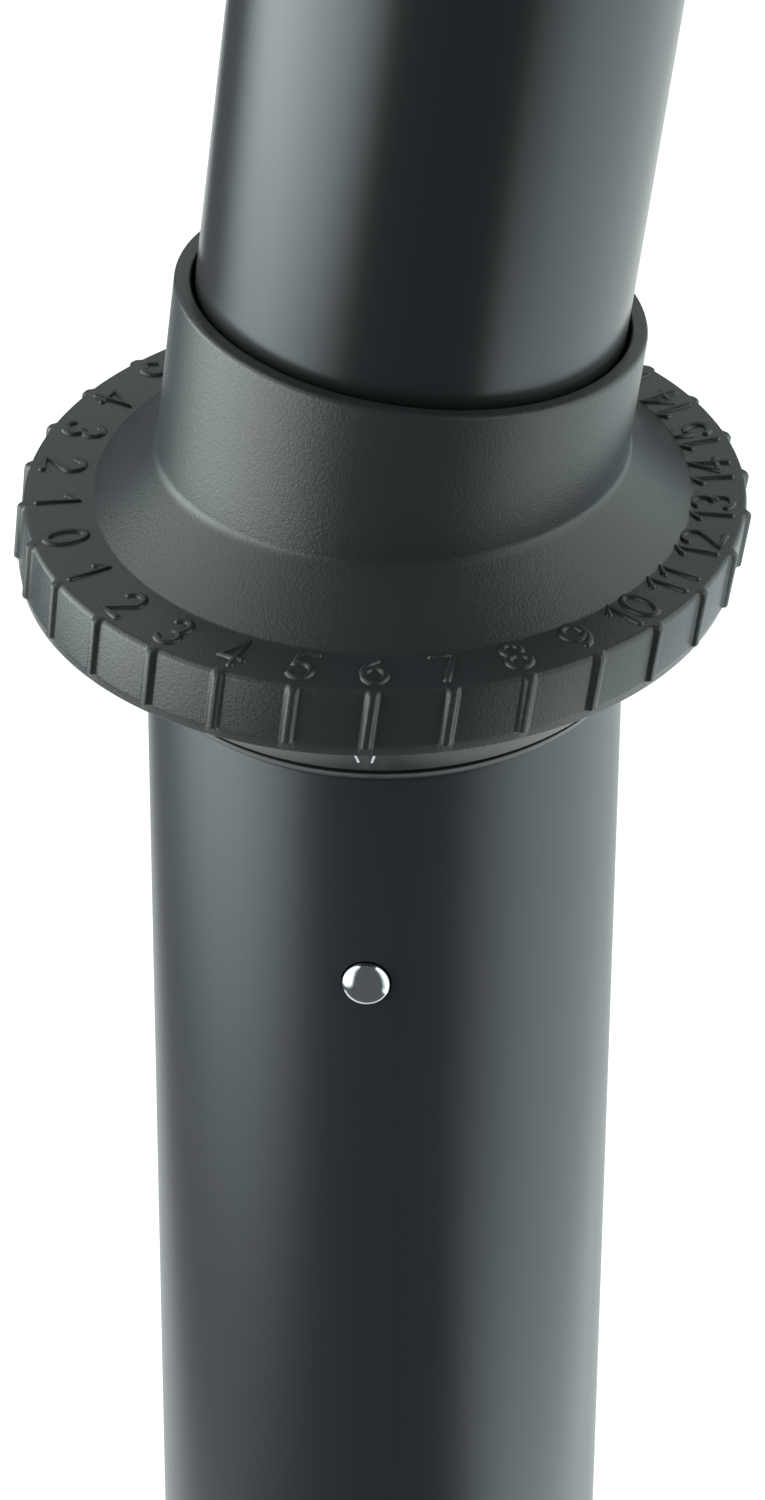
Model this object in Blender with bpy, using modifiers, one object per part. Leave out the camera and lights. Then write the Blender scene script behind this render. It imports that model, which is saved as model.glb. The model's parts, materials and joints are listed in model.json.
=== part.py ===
"""Tilting pole connector with a graduated dial.

A stand's pole enters the lower tube from below, and the load sits on the upper tube. Where the two
halves meet, both are cut at the same small angle, and a spring-loaded bolt stands square to that
cut. Turning the upper half about the bolt swings its tube from upright to twice the angle of the
cut, and the numbered dial reads the turn against an index mark on the lower half.

Frame: the origin is the centre of the lower tube's open end, +Z runs up the lower tube's axis and
-Y points to the index mark. Sizes are in metres and angles in radians.
"""

import math

import bmesh
import bpy
from mathutils import Matrix, Vector

MM = 0.001
GAP = 0.3 * MM  # left between pieces that touch
OVERLAP = 1 * MM  # how far shapes that are joined or cut run into each other

# The halves and how they meet. The tubes' axes and the bolt's axis cross at the pivot point.
WEDGE_ANGLE = math.radians(7.5)  # from each tube's axis to the bolt's axis
PIVOT_HEIGHT = 175 * MM  # pivot point above the lower tube's open end
UPPER_LENGTH = 130 * MM  # pivot point to the upper tube's top, along that tube
SCALE_STEPS = 30  # ribs round the dial, one for each scale number
REST_READING = 5.8  # scale number opposite the index in the modelled position

# Tubes.
LOWER_TUBE_RADIUS = 20 * MM
LOWER_TUBE_WALL = 2 * MM
UPPER_TUBE_RADIUS = 17.5 * MM
UPPER_TUBE_WALL = 2 * MM
TUBE_EDGE = 0.4 * MM  # chamfer on the open end of the lower tube

# Bush that closes the lower tube with the slanted face.
BUSH_PROUD = 0.6 * MM  # its collar's foot past the lower tube's outside
BUSH_COLLAR_HEIGHT = 6.8 * MM  # along the bolt
BUSH_FLARE = 3 * MM  # its collar's top past its foot
BUSH_FLARE_HEIGHT = 5.2 * MM
BUSH_WALL = 3.2 * MM  # round the cavity in its foot
BUSH_FOOT_BELOW_PIN = 16 * MM
CAVITY_PAST_PIN = 1 * MM  # the cavity in its foot past the pin
BUSH_WEB = 17.1 * MM  # solid between the washer's recess and the bolt head's pocket
BUSH_RELIEF = 0.5 * MM  # from its top face to the dial
GROOVE_RISE = 1.1 * MM  # shadow groove above the collar's lower edge
GROOVE_WIDTH = 0.5 * MM
GROOVE_DEPTH = 0.3 * MM
RECESS_RIM = 2.3 * MM  # collar left outside the washer's recess

# Pivot: bolt, washers, springs and nut, all along the bolt's axis.
BOLT_RADIUS = 5 * MM
BOLT_BORE_PLAY = 0.4 * MM
HEX_ACROSS_FLATS = 17 * MM
BOLT_HEAD_HEIGHT = 6.4 * MM
BOLT_PAST_NUT = 1.3 * MM
BOLT_TIP_EDGE = 1 * MM  # chamfer on the bolt's end
NUT_HEIGHT = 8 * MM
NUT_LOCK_HEIGHT = 2 * MM  # round collar that holds the nut's nylon ring
NUT_LOCK_RADIUS = 7.6 * MM
THRUST_THICKNESS = 1.6 * MM
WASHER_THICKNESS = 1.6 * MM
STACK_RADIUS = 10 * MM  # washers and disc springs
SPRING_THICKNESS = 1 * MM
SPRING_CONE = 0.6 * MM  # height of a spring's cone over its thickness
SPRING_COUNT = 4

# Cross pin through the lower tube and the bush.
PIN_RADIUS = 2 * MM
PIN_DOME = 0.6 * MM
PIN_PROUD = 0.3 * MM  # the pin's straight part past the tube
PIN_UNDER_HEAD = 0.6 * MM  # from the bolt head's lowest corner to the pin

# Dial, cone and collar: one moulding.
DIAL_TOP = -0.2 * MM  # its scale face, along the bolt from the pivot point
RIM_HEIGHT = 6.2 * MM
RIM_EDGE = 1.2 * MM  # rounding of its lower edge
RIM_EDGE_STEPS = 4
FLOOR_THICKNESS = 3.5 * MM
SCALE_BAND = 4.8 * MM  # flat ring that carries the numbers
RIB_WIDTH = 0.9 * MM
RIB_PROUD = 0.5 * MM
RIB_PAST_EDGE = 0.15 * MM  # how far the ribs run on over the rounding
CONE_SPREAD = 5.6 * MM
CONE_HEIGHT = 4.6 * MM
CONE_BURIED = 0.4 * MM  # cone carried on inside the collar
COLLAR_WALL = 1.35 * MM
COLLAR_PLAY = 0.35 * MM
COLLAR_HEIGHT = 17.4 * MM  # along the upper tube from the pivot point
COLLAR_EDGE = 0.3 * MM
CORE_WIDTH = 2.8 * MM  # hollow under the scale band
CORE_DEPTH = 3.8 * MM
CORE_MARGIN = 0.7 * MM  # sliding face past the bush's collar
RIM_WALL = 2.4 * MM
FLOOR_HOLE_PLAY = 1 * MM

# Plug in the foot of the upper tube, with its screws and pins.
PLUG_HEIGHT = 18.6 * MM
FIXING_COUNT = 3
SCREW_RADIUS = 2 * MM
SCREW_HEAD_RADIUS = 3.8 * MM
SCREW_HEAD_LAND = 0.3 * MM
SCREW_HEAD_HEIGHT = 1.6 * MM  # its cone
SCREW_LENGTH = 12 * MM
SCREW_SOCKET = 2.5 * MM
SCREW_SOCKET_DEPTH = 1.2 * MM
PLUG_PIN_RADIUS = 2 * MM
PLUG_PIN_LENGTH = 8.4 * MM
PLUG_PIN_COVER = 2 * MM  # plug left above the pins
PLUG_PIN_SUNK = 0.1 * MM  # below the upper tube's outside

# Cap on the upper tube.
CAP_THICKNESS = 2.5 * MM
CAP_EDGE = 0.8 * MM
CAP_SPIGOT = 12 * MM
CAP_WALL = 2 * MM

# How finely round shapes are cut.
ROUND = 96
DIAL_ROUND = 120
SMALL_ROUND = 40
PIN_ROUND = 20

# Lengths that follow from the ones above. Levels are along the bolt from the pivot point.
SLOPE = math.tan(WEDGE_ANGLE)
dial_underside = DIAL_TOP - RIM_HEIGHT
floor_top = dial_underside + FLOOR_THICKNESS
tube_foot = floor_top + GAP
bush_top = dial_underside - BUSH_RELIEF
bush_collar_foot = bush_top - BUSH_COLLAR_HEIGHT
lower_tube_top = bush_collar_foot - GAP
thrust_top = dial_underside - GAP
thrust_foot = thrust_top - THRUST_THICKNESS
recess_floor = thrust_foot - GAP
pocket_roof = recess_floor - BUSH_WEB
bolt_head_top = pocket_roof - GAP
bolt_head_foot = bolt_head_top - BOLT_HEAD_HEIGHT
plug_top = tube_foot + PLUG_HEIGHT

lower_bore = LOWER_TUBE_RADIUS - LOWER_TUBE_WALL
upper_bore = UPPER_TUBE_RADIUS - UPPER_TUBE_WALL
bush_collar_radius = LOWER_TUBE_RADIUS + BUSH_PROUD
bush_top_radius = bush_collar_radius + BUSH_FLARE
groove_radius = bush_collar_radius + GROOVE_RISE * BUSH_FLARE / BUSH_FLARE_HEIGHT - GROOVE_DEPTH
spigot_radius = lower_bore - GAP
cavity_radius = spigot_radius - BUSH_WALL
recess_radius = bush_collar_radius - RECESS_RIM
thrust_radius = recess_radius - GAP
stack_bore = BOLT_RADIUS + GAP
bolt_bore = BOLT_RADIUS + BOLT_BORE_PLAY
floor_hole = BOLT_RADIUS + FLOOR_HOLE_PLAY
hex_radius = HEX_ACROSS_FLATS / 2 / math.cos(math.pi / 6)
pocket_radius = hex_radius + GAP / math.cos(math.pi / 6)

# Heights along the lower tube from the pivot point.
bolt_head_lowest = bolt_head_foot * math.cos(WEDGE_ANGLE) - hex_radius * math.sin(WEDGE_ANGLE)
pin_level = bolt_head_lowest - PIN_UNDER_HEAD - PIN_RADIUS
cavity_roof = pin_level + PIN_RADIUS + CAVITY_PAST_PIN
bush_foot = pin_level - BUSH_FOOT_BELOW_PIN

collar_bore = UPPER_TUBE_RADIUS + COLLAR_PLAY
collar_radius = collar_bore + COLLAR_WALL
cone_radius = collar_radius + CONE_SPREAD
core_inner = bush_top_radius + CORE_MARGIN
rim_radius = max(cone_radius + SCALE_BAND, core_inner + CORE_WIDTH + RIM_WALL)
core_outer = rim_radius - RIM_WALL
plug_radius = upper_bore - GAP
screw_circle = (floor_hole + plug_radius) / 2
plug_pin_level = (
    plug_top / math.cos(WEDGE_ANGLE)
    - plug_radius * SLOPE
    - PLUG_PIN_COVER
    - PLUG_PIN_RADIUS
)

# Cutters reach past what they cut by this much.
REACH = 2 * (rim_radius + BUSH_WEB)

# Finishes: colour as sRGB hex, roughness, metallic.
POWDER_COAT = ("#26292B", 0.45, 0.0)
SATIN_COAT = ("#23282A", 0.35, 0.0)
GRAINED_NYLON = ("#2A2F31", 0.6, 0.0)
MOULDED_NYLON = ("#1E2123", 0.4, 0.0)
POLISHED_STEEL = ("#C9CCCE", 0.15, 1.0)
PLATED_STEEL = ("#A9ACAF", 0.35, 1.0)
SPRING_STEEL = ("#6E6A66", 0.4, 1.0)
ACETAL = ("#D9D6CC", 0.45, 0.0)


def collection(name):
    """A new collection in the scene."""
    made = bpy.data.collections.new(name)
    bpy.context.scene.collection.children.link(made)
    return made


def clear_scene():
    """Remove whatever the scene holds."""
    for found in list(bpy.data.objects):
        bpy.data.objects.remove(found, do_unlink=True)


def linear(hex_colour):
    """Linear red, green, blue and alpha for an sRGB hex colour."""
    values = [int(hex_colour[i : i + 2], 16) / 255 for i in (1, 3, 5)]
    return [v / 12.92 if v <= 0.04045 else ((v + 0.055) / 1.055) ** 2.4 for v in values] + [1.0]


def material(name, finish):
    """The part's own material."""
    colour, roughness, metallic = finish
    made = bpy.data.materials.new(name)
    made.use_nodes = True
    shader = made.node_tree.nodes["Principled BSDF"]
    shader.inputs["Base Color"].default_value = linear(colour)
    shader.inputs["Roughness"].default_value = roughness
    shader.inputs["Metallic"].default_value = metallic
    return made


def axis_frame(name, location, rotation, parent=None):
    """An empty whose Z axis is the axis that pieces are made about."""
    empty = bpy.data.objects.new(name, None)
    empty.empty_display_size = 20 * MM
    empty.location = location
    empty.rotation_euler = rotation
    empty.parent = parent
    CONNECTOR.objects.link(empty)
    return empty


def place(name, mesh, frame, finish=None, location=(0, 0, 0)):
    """An object in a frame: a sub-part with its finish, or a cutter where there is none."""
    placed = bpy.data.objects.new(name, mesh)
    placed.parent = frame
    placed.location = location
    if finish:
        mesh.materials.append(material(name, finish))
        CONNECTOR.objects.link(placed)
    else:
        placed.hide_render = True
        placed.display_type = "WIRE"
        CUTTERS.objects.link(placed)
    return placed


def mesh_of(name, shape):
    """A mesh from a bmesh, shaded smooth with its edges kept sharp."""
    mesh = bpy.data.meshes.new(name)
    shape.to_mesh(mesh)
    shape.free()
    mesh.shade_smooth()
    mesh.set_sharp_from_angle(angle=math.radians(30))
    return mesh


def cylinder(name, radius, low, high, frame, finish=None, top_radius=None, sides=ROUND, at=(0, 0, 0)):
    """A cylinder or cone about its frame's Z axis."""
    shape = bmesh.new()
    bmesh.ops.create_cone(
        shape,
        cap_ends=True,
        segments=sides,
        radius1=radius,
        radius2=radius if top_radius is None else top_radius,
        depth=high - low,
        matrix=Matrix.Translation((0, 0, (low + high) / 2)),
    )
    return place(name, mesh_of(name, shape), frame, finish, at)


def block(name, low, high, frame):
    """A wide square cutter between two levels of its frame."""
    shape = bmesh.new()
    middle = Matrix.Translation((0, 0, (low + high) / 2))
    size = Matrix.Diagonal((2 * REACH, 2 * REACH, high - low, 1))
    bmesh.ops.create_cube(shape, size=1, matrix=middle @ size)
    return place(name, mesh_of(name, shape), frame)


def turned(name, profile, frame, finish=None, steps=ROUND, ring=True, at=(0, 0, 0)):
    """A shape turned about its frame's Z axis from (radius, height) points, outer side downwards."""
    mesh = bpy.data.meshes.new(name)
    joins = [(i, i + 1) for i in range(len(profile) - 1)]
    if ring:
        joins.append((len(profile) - 1, 0))
    mesh.from_pydata([(radius, 0, height) for radius, height in profile], joins, [])
    piece = place(name, mesh, frame, finish, at)
    screw = piece.modifiers.new("turn", "SCREW")
    screw.steps = steps
    screw.render_steps = steps
    screw.use_merge_vertices = True
    screw.merge_threshold = 0.001 * MM
    return piece


def slanted(name, corners, frame, finish=None, sides=ROUND):
    """A solid about its frame's Z axis from (radius, level) rings, the lowest first.

    Each ring lies in a plane square to the bolt.
    """
    shape = bmesh.new()
    rings = []
    for radius, level in corners:
        ring = []
        for step in range(sides):
            angle = math.tau * step / sides
            back = radius * math.sin(angle)
            height = level / math.cos(WEDGE_ANGLE) + back * SLOPE
            ring.append(shape.verts.new((radius * math.cos(angle), back, height)))
        rings.append(ring)
    for low, high in zip(rings, rings[1:]):
        for step in range(sides):
            after = (step + 1) % sides
            shape.faces.new((low[step], low[after], high[after], high[step]))
    shape.faces.new(reversed(rings[0]))
    shape.faces.new(rings[-1])
    return place(name, mesh_of(name, shape), frame, finish)


def ring_profile(outer, inner, low, high):
    """The four corners of a plain ring."""
    return [(outer, high), (outer, low), (inner, low), (inner, high)]


def combine(piece, other, operation):
    """Join, cut or trim a piece by another object."""
    modifier = piece.modifiers.new(f"{operation.lower()}_{other.name}"[:60], "BOOLEAN")
    modifier.operation = operation
    modifier.solver = "EXACT"
    modifier.object = other


def join(piece, *others):
    for other in others:
        combine(piece, other, "UNION")


def cut(piece, *others):
    for other in others:
        combine(piece, other, "DIFFERENCE")


def trim(piece, low, high, frame):
    """Keep what lies between two levels of a frame."""
    combine(piece, block(f"{piece.name}_trim", low, high, frame), "INTERSECT")


def make_lower_tube():
    """Steel tube with a slanted top and a hole on each side for the cross pin."""
    top = PIVOT_HEIGHT
    profile = [
        (LOWER_TUBE_RADIUS, top),
        (LOWER_TUBE_RADIUS, TUBE_EDGE),
        (LOWER_TUBE_RADIUS - TUBE_EDGE, 0),
        (lower_bore + TUBE_EDGE, 0),
        (lower_bore, TUBE_EDGE),
        (lower_bore, top),
    ]
    tube = turned("lower_tube", profile, LOWER, POWDER_COAT)
    trim(tube, -PIVOT_HEIGHT - REACH, lower_tube_top, BOLT)
    cut(tube, PIN_HOLE)


def make_wedge_bush():
    """Moulded bush: a slanted, flared collar above the tube and a hollow spigot inside it."""
    corners = [
        (bush_collar_radius, bush_collar_foot),
        (bush_top_radius, bush_collar_foot + BUSH_FLARE_HEIGHT),
        (bush_top_radius, bush_top),
    ]
    bush = slanted("wedge_bush", corners, PIVOT, MOULDED_NYLON)
    groove_middle = bush_collar_foot + GROOVE_RISE
    groove = turned(
        "bush_groove",
        ring_profile(REACH / 2, groove_radius, -REACH, REACH),
        PIVOT,
    )
    trim(groove, groove_middle - GROOVE_WIDTH / 2, groove_middle + GROOVE_WIDTH / 2, BOLT)
    spigot_top = (bush_top + bush_collar_foot) / 2
    join(bush, cylinder("bush_spigot", spigot_radius, bush_foot, spigot_top, PIVOT))
    pocket = cylinder("head_pocket", pocket_radius, -REACH, pocket_roof, BOLT, sides=6)
    cut(
        bush,
        groove,
        cylinder("bush_cavity", cavity_radius, bush_foot - REACH, cavity_roof, PIVOT),
        cylinder("washer_recess", recess_radius, recess_floor, REACH, BOLT),
        cylinder("bush_bolt_bore", bolt_bore, -REACH, REACH, BOLT, sides=SMALL_ROUND),
        pocket,
        PIN_HOLE,
    )
    # The pocket stops where the cavity begins, so it doesn't reach the spigot's wall.
    trim_foot = cylinder("pocket_limit", cavity_radius, bush_foot - REACH, REACH, PIVOT)
    combine(pocket, trim_foot, "INTERSECT")


def make_cross_pin():
    """Polished pin with domed ends."""
    half = LOWER_TUBE_RADIUS + PIN_PROUD
    arc = [math.pi / 2 * i / 4 for i in range(5)]
    dome = [(PIN_RADIUS * math.sin(a), half + PIN_DOME * math.cos(a)) for a in arc]
    profile = dome + [(radius, -height) for radius, height in reversed(dome)]
    profile[0] = (0, half + PIN_DOME)
    profile[-1] = (0, -half - PIN_DOME)
    turned("cross_pin", profile, PIN, POLISHED_STEEL, steps=PIN_ROUND, ring=False)


def make_pivot_bolt(bolt_end):
    """Hexagon bolt whose head sits in the bush's pocket."""
    bolt = cylinder(
        "pivot_bolt", hex_radius, bolt_head_foot, bolt_head_top, BOLT, PLATED_STEEL, sides=6
    )
    shank_foot = (bolt_head_foot + bolt_head_top) / 2
    tip = [
        (0, bolt_end),
        (BOLT_RADIUS - BOLT_TIP_EDGE, bolt_end),
        (BOLT_RADIUS, bolt_end - BOLT_TIP_EDGE),
    ]
    profile = tip + [(BOLT_RADIUS, shank_foot), (0, shank_foot)]
    join(bolt, turned("bolt_shank", profile, BOLT, steps=SMALL_ROUND, ring=False))


def make_washer(name, outer, inner, low, thickness, frame, finish):
    turned(name, ring_profile(outer, inner, low, low + thickness), frame, finish, SMALL_ROUND)


def make_disc_spring(name, low, opens_down):
    """Coned spring washer. Its inner edge is high where it opens downwards."""
    inner_rise = SPRING_CONE if opens_down else 0
    outer_rise = SPRING_CONE - inner_rise
    profile = [
        (STACK_RADIUS, low + outer_rise + SPRING_THICKNESS),
        (STACK_RADIUS, low + outer_rise),
        (stack_bore, low + inner_rise),
        (stack_bore, low + inner_rise + SPRING_THICKNESS),
    ]
    turned(name, profile, BOLT, SPRING_STEEL, SMALL_ROUND)


def make_lock_nut(low):
    """Hexagon nut with a round collar for its nylon ring."""
    top = low + NUT_HEIGHT
    nut = cylinder("lock_nut", hex_radius, low, top, BOLT, PLATED_STEEL, sides=6)
    collar_foot = low + NUT_HEIGHT / 2
    collar_top = top + NUT_LOCK_HEIGHT
    join(nut, cylinder("nut_collar", NUT_LOCK_RADIUS, collar_foot, collar_top, BOLT, sides=SMALL_ROUND))
    cut(nut, cylinder("nut_bore", stack_bore, -REACH, REACH, BOLT, sides=SMALL_ROUND))
    return collar_top


def make_spring_stack():
    """Washer, springs, washer and nut, from the plug upwards. Gives the bolt's end."""
    level = plug_top + GAP
    make_washer(
        "spring_seat_washer", STACK_RADIUS, stack_bore, level, WASHER_THICKNESS, DIAL_AXIS, PLATED_STEEL
    )
    level += WASHER_THICKNESS + GAP
    for number in range(SPRING_COUNT):
        make_disc_spring(f"disc_spring_{number + 1}", level, opens_down=number % 2 == 0)
        level += SPRING_THICKNESS + SPRING_CONE + GAP
    make_washer(
        "nut_washer", STACK_RADIUS, stack_bore, level, WASHER_THICKNESS, BOLT, PLATED_STEEL
    )
    return make_lock_nut(level + WASHER_THICKNESS + GAP) + BOLT_PAST_NUT


def rib_ring():
    """Bars that stand proud of the rim, one for each scale number."""
    shape = bmesh.new()
    depth = 2 * RIB_PROUD
    height = 4 * RIM_HEIGHT
    for step in range(SCALE_STEPS):
        turn = Matrix.Rotation(math.tau * step / SCALE_STEPS, 4, "Z")
        out = Matrix.Translation((0, -rim_radius, 0))
        size = Matrix.Diagonal((RIB_WIDTH, depth, height, 1))
        bmesh.ops.create_cube(shape, size=1, matrix=turn @ out @ size)
    ribs = place("dial_ribs", mesh_of("dial_ribs", shape), HEAD)
    trim(ribs, dial_underside + RIM_EDGE - RIB_PAST_EDGE, REACH, DIAL_AXIS)
    return ribs


def make_rim():
    """The rim with a rounded lower edge and its ribs."""
    corners = []
    for step in range(RIM_EDGE_STEPS + 1):
        angle = math.pi / 2 * step / RIM_EDGE_STEPS
        radius = rim_radius - RIM_EDGE * (1 - math.sin(angle))
        corners.append((radius, dial_underside + RIM_EDGE * (1 - math.cos(angle))))
    corners.append((rim_radius, DIAL_TOP + OVERLAP))
    rim = slanted("dial_collar", corners, HEAD, GRAINED_NYLON, DIAL_ROUND)
    join(rim, rib_ring())
    trim(rim, dial_underside - OVERLAP, DIAL_TOP, DIAL_AXIS)
    return rim


def make_collar_tube():
    """The moulding's collar round the upper tube, with a small edge round its mouth."""
    profile = [
        (0, COLLAR_HEIGHT),
        (collar_radius - COLLAR_EDGE, COLLAR_HEIGHT),
        (collar_radius, COLLAR_HEIGHT - COLLAR_EDGE),
        (collar_radius, DIAL_TOP - OVERLAP),
        (0, DIAL_TOP - OVERLAP),
    ]
    return turned("dial_collar_tube", profile, HEAD, steps=DIAL_ROUND, ring=False)


def make_cone():
    """Cone between the scale band and the collar, about the bolt's direction.

    Its axis meets the upper tube's axis where the cone runs into the collar.
    """
    crease = DIAL_TOP + CONE_HEIGHT
    slope = CONE_SPREAD / CONE_HEIGHT
    return cylinder(
        "dial_cone",
        cone_radius + OVERLAP * slope,
        DIAL_TOP - OVERLAP,
        crease + CONE_BURIED,
        DIAL_AXIS,
        top_radius=collar_radius - CONE_BURIED * slope,
        sides=DIAL_ROUND,
        at=(0, crease * SLOPE, 0),
    )


def screw_spot(number):
    """Where a dial screw stands in the plane square to the bolt."""
    angle = math.tau * number / FIXING_COUNT + math.pi / 2
    return (screw_circle * math.cos(angle), screw_circle * math.sin(angle), 0)


def screw_profile(top, foot, grow=0):
    """Countersunk screw with its head down, grown by a clearance."""
    land = dial_underside + GAP + SCREW_HEAD_LAND
    return [
        (0, top + grow),
        (SCREW_RADIUS + grow, top + grow),
        (SCREW_RADIUS + grow, land + SCREW_HEAD_HEIGHT),
        (SCREW_HEAD_RADIUS + grow, land),
        (SCREW_HEAD_RADIUS + grow, foot),
        (0, foot),
    ]


def make_screws(dial, plug):
    """Screws that hold the dial to the plug, and the holes for them."""
    foot = dial_underside + GAP
    top = foot + SCREW_LENGTH
    hole_profile = screw_profile(top, dial_underside - OVERLAP, GAP)
    socket_radius = SCREW_SOCKET / 2 / math.cos(math.pi / 6)
    for number in range(FIXING_COUNT):
        spot = screw_spot(number)
        name = f"dial_screw_{number + 1}"
        hole = turned(f"{name}_hole", hole_profile, DIAL_AXIS, None, PIN_ROUND, False, spot)
        cut(dial, hole)
        cut(plug, hole)
        profile = screw_profile(top, foot)
        screw = turned(name, profile, DIAL_AXIS, PLATED_STEEL, PIN_ROUND, False, spot)
        socket_top = foot + SCREW_SOCKET_DEPTH
        socket = cylinder(
            f"{name}_socket", socket_radius, -REACH, socket_top, DIAL_AXIS, sides=6, at=spot
        )
        cut(screw, socket)


def make_plug_pins(tube, plug):
    """Pins that hold the plug in the upper tube, covered by the collar."""
    tip = UPPER_TUBE_RADIUS - PLUG_PIN_SUNK
    for number in range(FIXING_COUNT):
        name = f"plug_pin_{number + 1}"
        angle = math.tau * (number + 0.5) / FIXING_COUNT + math.pi / 2
        frame = axis_frame(f"{name}_axis", (0, 0, plug_pin_level), (0, math.pi / 2, angle), HEAD)
        hole = cylinder(
            f"{name}_hole",
            PLUG_PIN_RADIUS + GAP,
            tip - PLUG_PIN_LENGTH - GAP,
            REACH,
            frame,
            sides=PIN_ROUND,
        )
        cut(tube, hole)
        cut(plug, hole)
        cylinder(name, PLUG_PIN_RADIUS, tip - PLUG_PIN_LENGTH, tip, frame, PLATED_STEEL, sides=PIN_ROUND)


def make_dial_collar():
    """The moulding that is turned by hand: ribbed rim, scale band, cone and collar."""
    dial = make_rim()
    join(dial, make_cone(), make_collar_tube())
    bore = cylinder("collar_bore", collar_bore, -REACH, REACH, HEAD, sides=DIAL_ROUND)
    trim(bore, floor_top, REACH, DIAL_AXIS)
    core = turned("rim_core", ring_profile(core_outer, core_inner, -REACH, REACH), HEAD)
    trim(core, -REACH, dial_underside + CORE_DEPTH, DIAL_AXIS)
    hole = cylinder("floor_hole", floor_hole, -REACH, REACH, DIAL_AXIS, sides=SMALL_ROUND)
    cut(dial, bore, core, hole)
    return dial


def make_upper_plug():
    """Plug in the upper tube's foot that the springs press on."""
    plug = cylinder("upper_plug", plug_radius, -REACH, REACH, HEAD, MOULDED_NYLON)
    trim(plug, tube_foot, plug_top, DIAL_AXIS)
    cut(plug, cylinder("plug_bolt_bore", bolt_bore, -REACH, REACH, DIAL_AXIS, sides=SMALL_ROUND))
    return plug


def make_upper_tube():
    """Tube that the load slides onto, with a slanted foot."""
    profile = ring_profile(UPPER_TUBE_RADIUS, upper_bore, -REACH, UPPER_LENGTH)
    tube = turned("upper_tube", profile, HEAD, SATIN_COAT)
    trim(tube, tube_foot, UPPER_LENGTH + REACH, DIAL_AXIS)
    return tube


def make_end_cap():
    """Cap pushed into the upper tube's top."""
    seat = UPPER_LENGTH + GAP
    top = seat + CAP_THICKNESS
    inner = plug_radius - CAP_WALL
    profile = [
        (0, top),
        (UPPER_TUBE_RADIUS - CAP_EDGE, top),
        (UPPER_TUBE_RADIUS, top - CAP_EDGE),
        (UPPER_TUBE_RADIUS, seat),
        (plug_radius, seat),
        (plug_radius, seat - CAP_SPIGOT),
        (inner, seat - CAP_SPIGOT),
        (inner, seat),
        (0, seat),
    ]
    turned("end_cap", profile, HEAD, MOULDED_NYLON, ring=False)


clear_scene()
CONNECTOR = collection("tilting_pole_connector")
CUTTERS = collection("cutters")

# Frames: the lower tube's foot, the pivot point, the bolt, the turning head and the cross pin.
bolt_direction = Vector((0, -math.sin(WEDGE_ANGLE), math.cos(WEDGE_ANGLE)))
head_turn = Matrix.Rotation(-math.tau * REST_READING / SCALE_STEPS, 3, bolt_direction)
pivot_point = (0, 0, PIVOT_HEIGHT)
LOWER = axis_frame("lower_foot", (0, 0, 0), (0, 0, 0))
PIVOT = axis_frame("pivot_point", pivot_point, (0, 0, 0))
BOLT = axis_frame("bolt_axis", pivot_point, (WEDGE_ANGLE, 0, 0))
HEAD = axis_frame("scale_turn", pivot_point, head_turn.to_euler())
DIAL_AXIS = axis_frame("dial_axis", (0, 0, 0), (WEDGE_ANGLE, 0, 0), HEAD)
PIN = axis_frame("cross_pin_axis", (0, 0, PIVOT_HEIGHT + pin_level), (math.pi / 2, 0, 0))
PIN_HOLE = cylinder("cross_pin_hole", PIN_RADIUS + GAP, -REACH, REACH, PIN, sides=PIN_ROUND)

# Lower half.
make_lower_tube()
make_wedge_bush()
make_cross_pin()
make_washer(
    "thrust_washer", thrust_radius, floor_hole, thrust_foot, THRUST_THICKNESS, BOLT, ACETAL
)

# Turning head.
dial_collar = make_dial_collar()
upper_plug = make_upper_plug()
upper_tube = make_upper_tube()
make_screws(dial_collar, upper_plug)
make_plug_pins(upper_tube, upper_plug)
make_end_cap()

# The bolt that joins them ends past the nut on the spring stack.
make_pivot_bolt(make_spring_stack())
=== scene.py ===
# %% [markdown]
# # A tilting pole connector with a graduated dial
#
# Two steel tubes meet in a slanted, ribbed dial. Turning the dial swings the upper tube. This lesson
# loads the working model, and then makes the surfaces that the eye sees: coated tubes, a grained
# nylon moulding with raised numerals, a slanted bush and a polished pin.
#
# The frame is the engineering model. Every piece made below is placed from it and rides on one of
# its two bodies, the base or the turning head.

# %% Load the frame
import cmath
import json
import math
from collections import namedtuple

import bmesh
import bpy
from mathutils import Matrix, Vector


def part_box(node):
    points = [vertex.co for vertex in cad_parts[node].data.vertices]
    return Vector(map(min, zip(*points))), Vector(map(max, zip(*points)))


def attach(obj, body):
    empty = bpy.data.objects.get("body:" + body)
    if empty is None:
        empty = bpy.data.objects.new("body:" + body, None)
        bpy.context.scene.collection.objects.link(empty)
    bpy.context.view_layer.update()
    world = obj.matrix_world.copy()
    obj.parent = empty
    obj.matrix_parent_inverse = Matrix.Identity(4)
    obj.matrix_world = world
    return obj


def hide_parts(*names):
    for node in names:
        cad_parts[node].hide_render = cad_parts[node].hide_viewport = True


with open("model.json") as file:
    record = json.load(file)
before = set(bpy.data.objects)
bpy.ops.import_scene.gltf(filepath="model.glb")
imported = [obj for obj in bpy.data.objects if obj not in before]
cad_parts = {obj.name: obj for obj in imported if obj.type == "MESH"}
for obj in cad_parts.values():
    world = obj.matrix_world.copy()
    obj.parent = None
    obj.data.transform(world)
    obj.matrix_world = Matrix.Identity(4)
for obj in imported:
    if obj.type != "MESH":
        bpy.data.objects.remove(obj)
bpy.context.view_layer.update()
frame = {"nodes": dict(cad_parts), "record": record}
MM = 0.001

# %% [markdown]
# ## Where things are
#
# The joint gives the pivot point and the bolt's direction. The mount at the upper end gives the
# upper tube's direction. From these three follows how far the head is turned, which is what the
# scale reads, and a matrix for each half. Both matrices have their origin at the pivot point and
# their Z axis along their own tube, and in both the bolt leans the same way, towards -Y. So one
# description of a slanted cut serves both halves.

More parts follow.
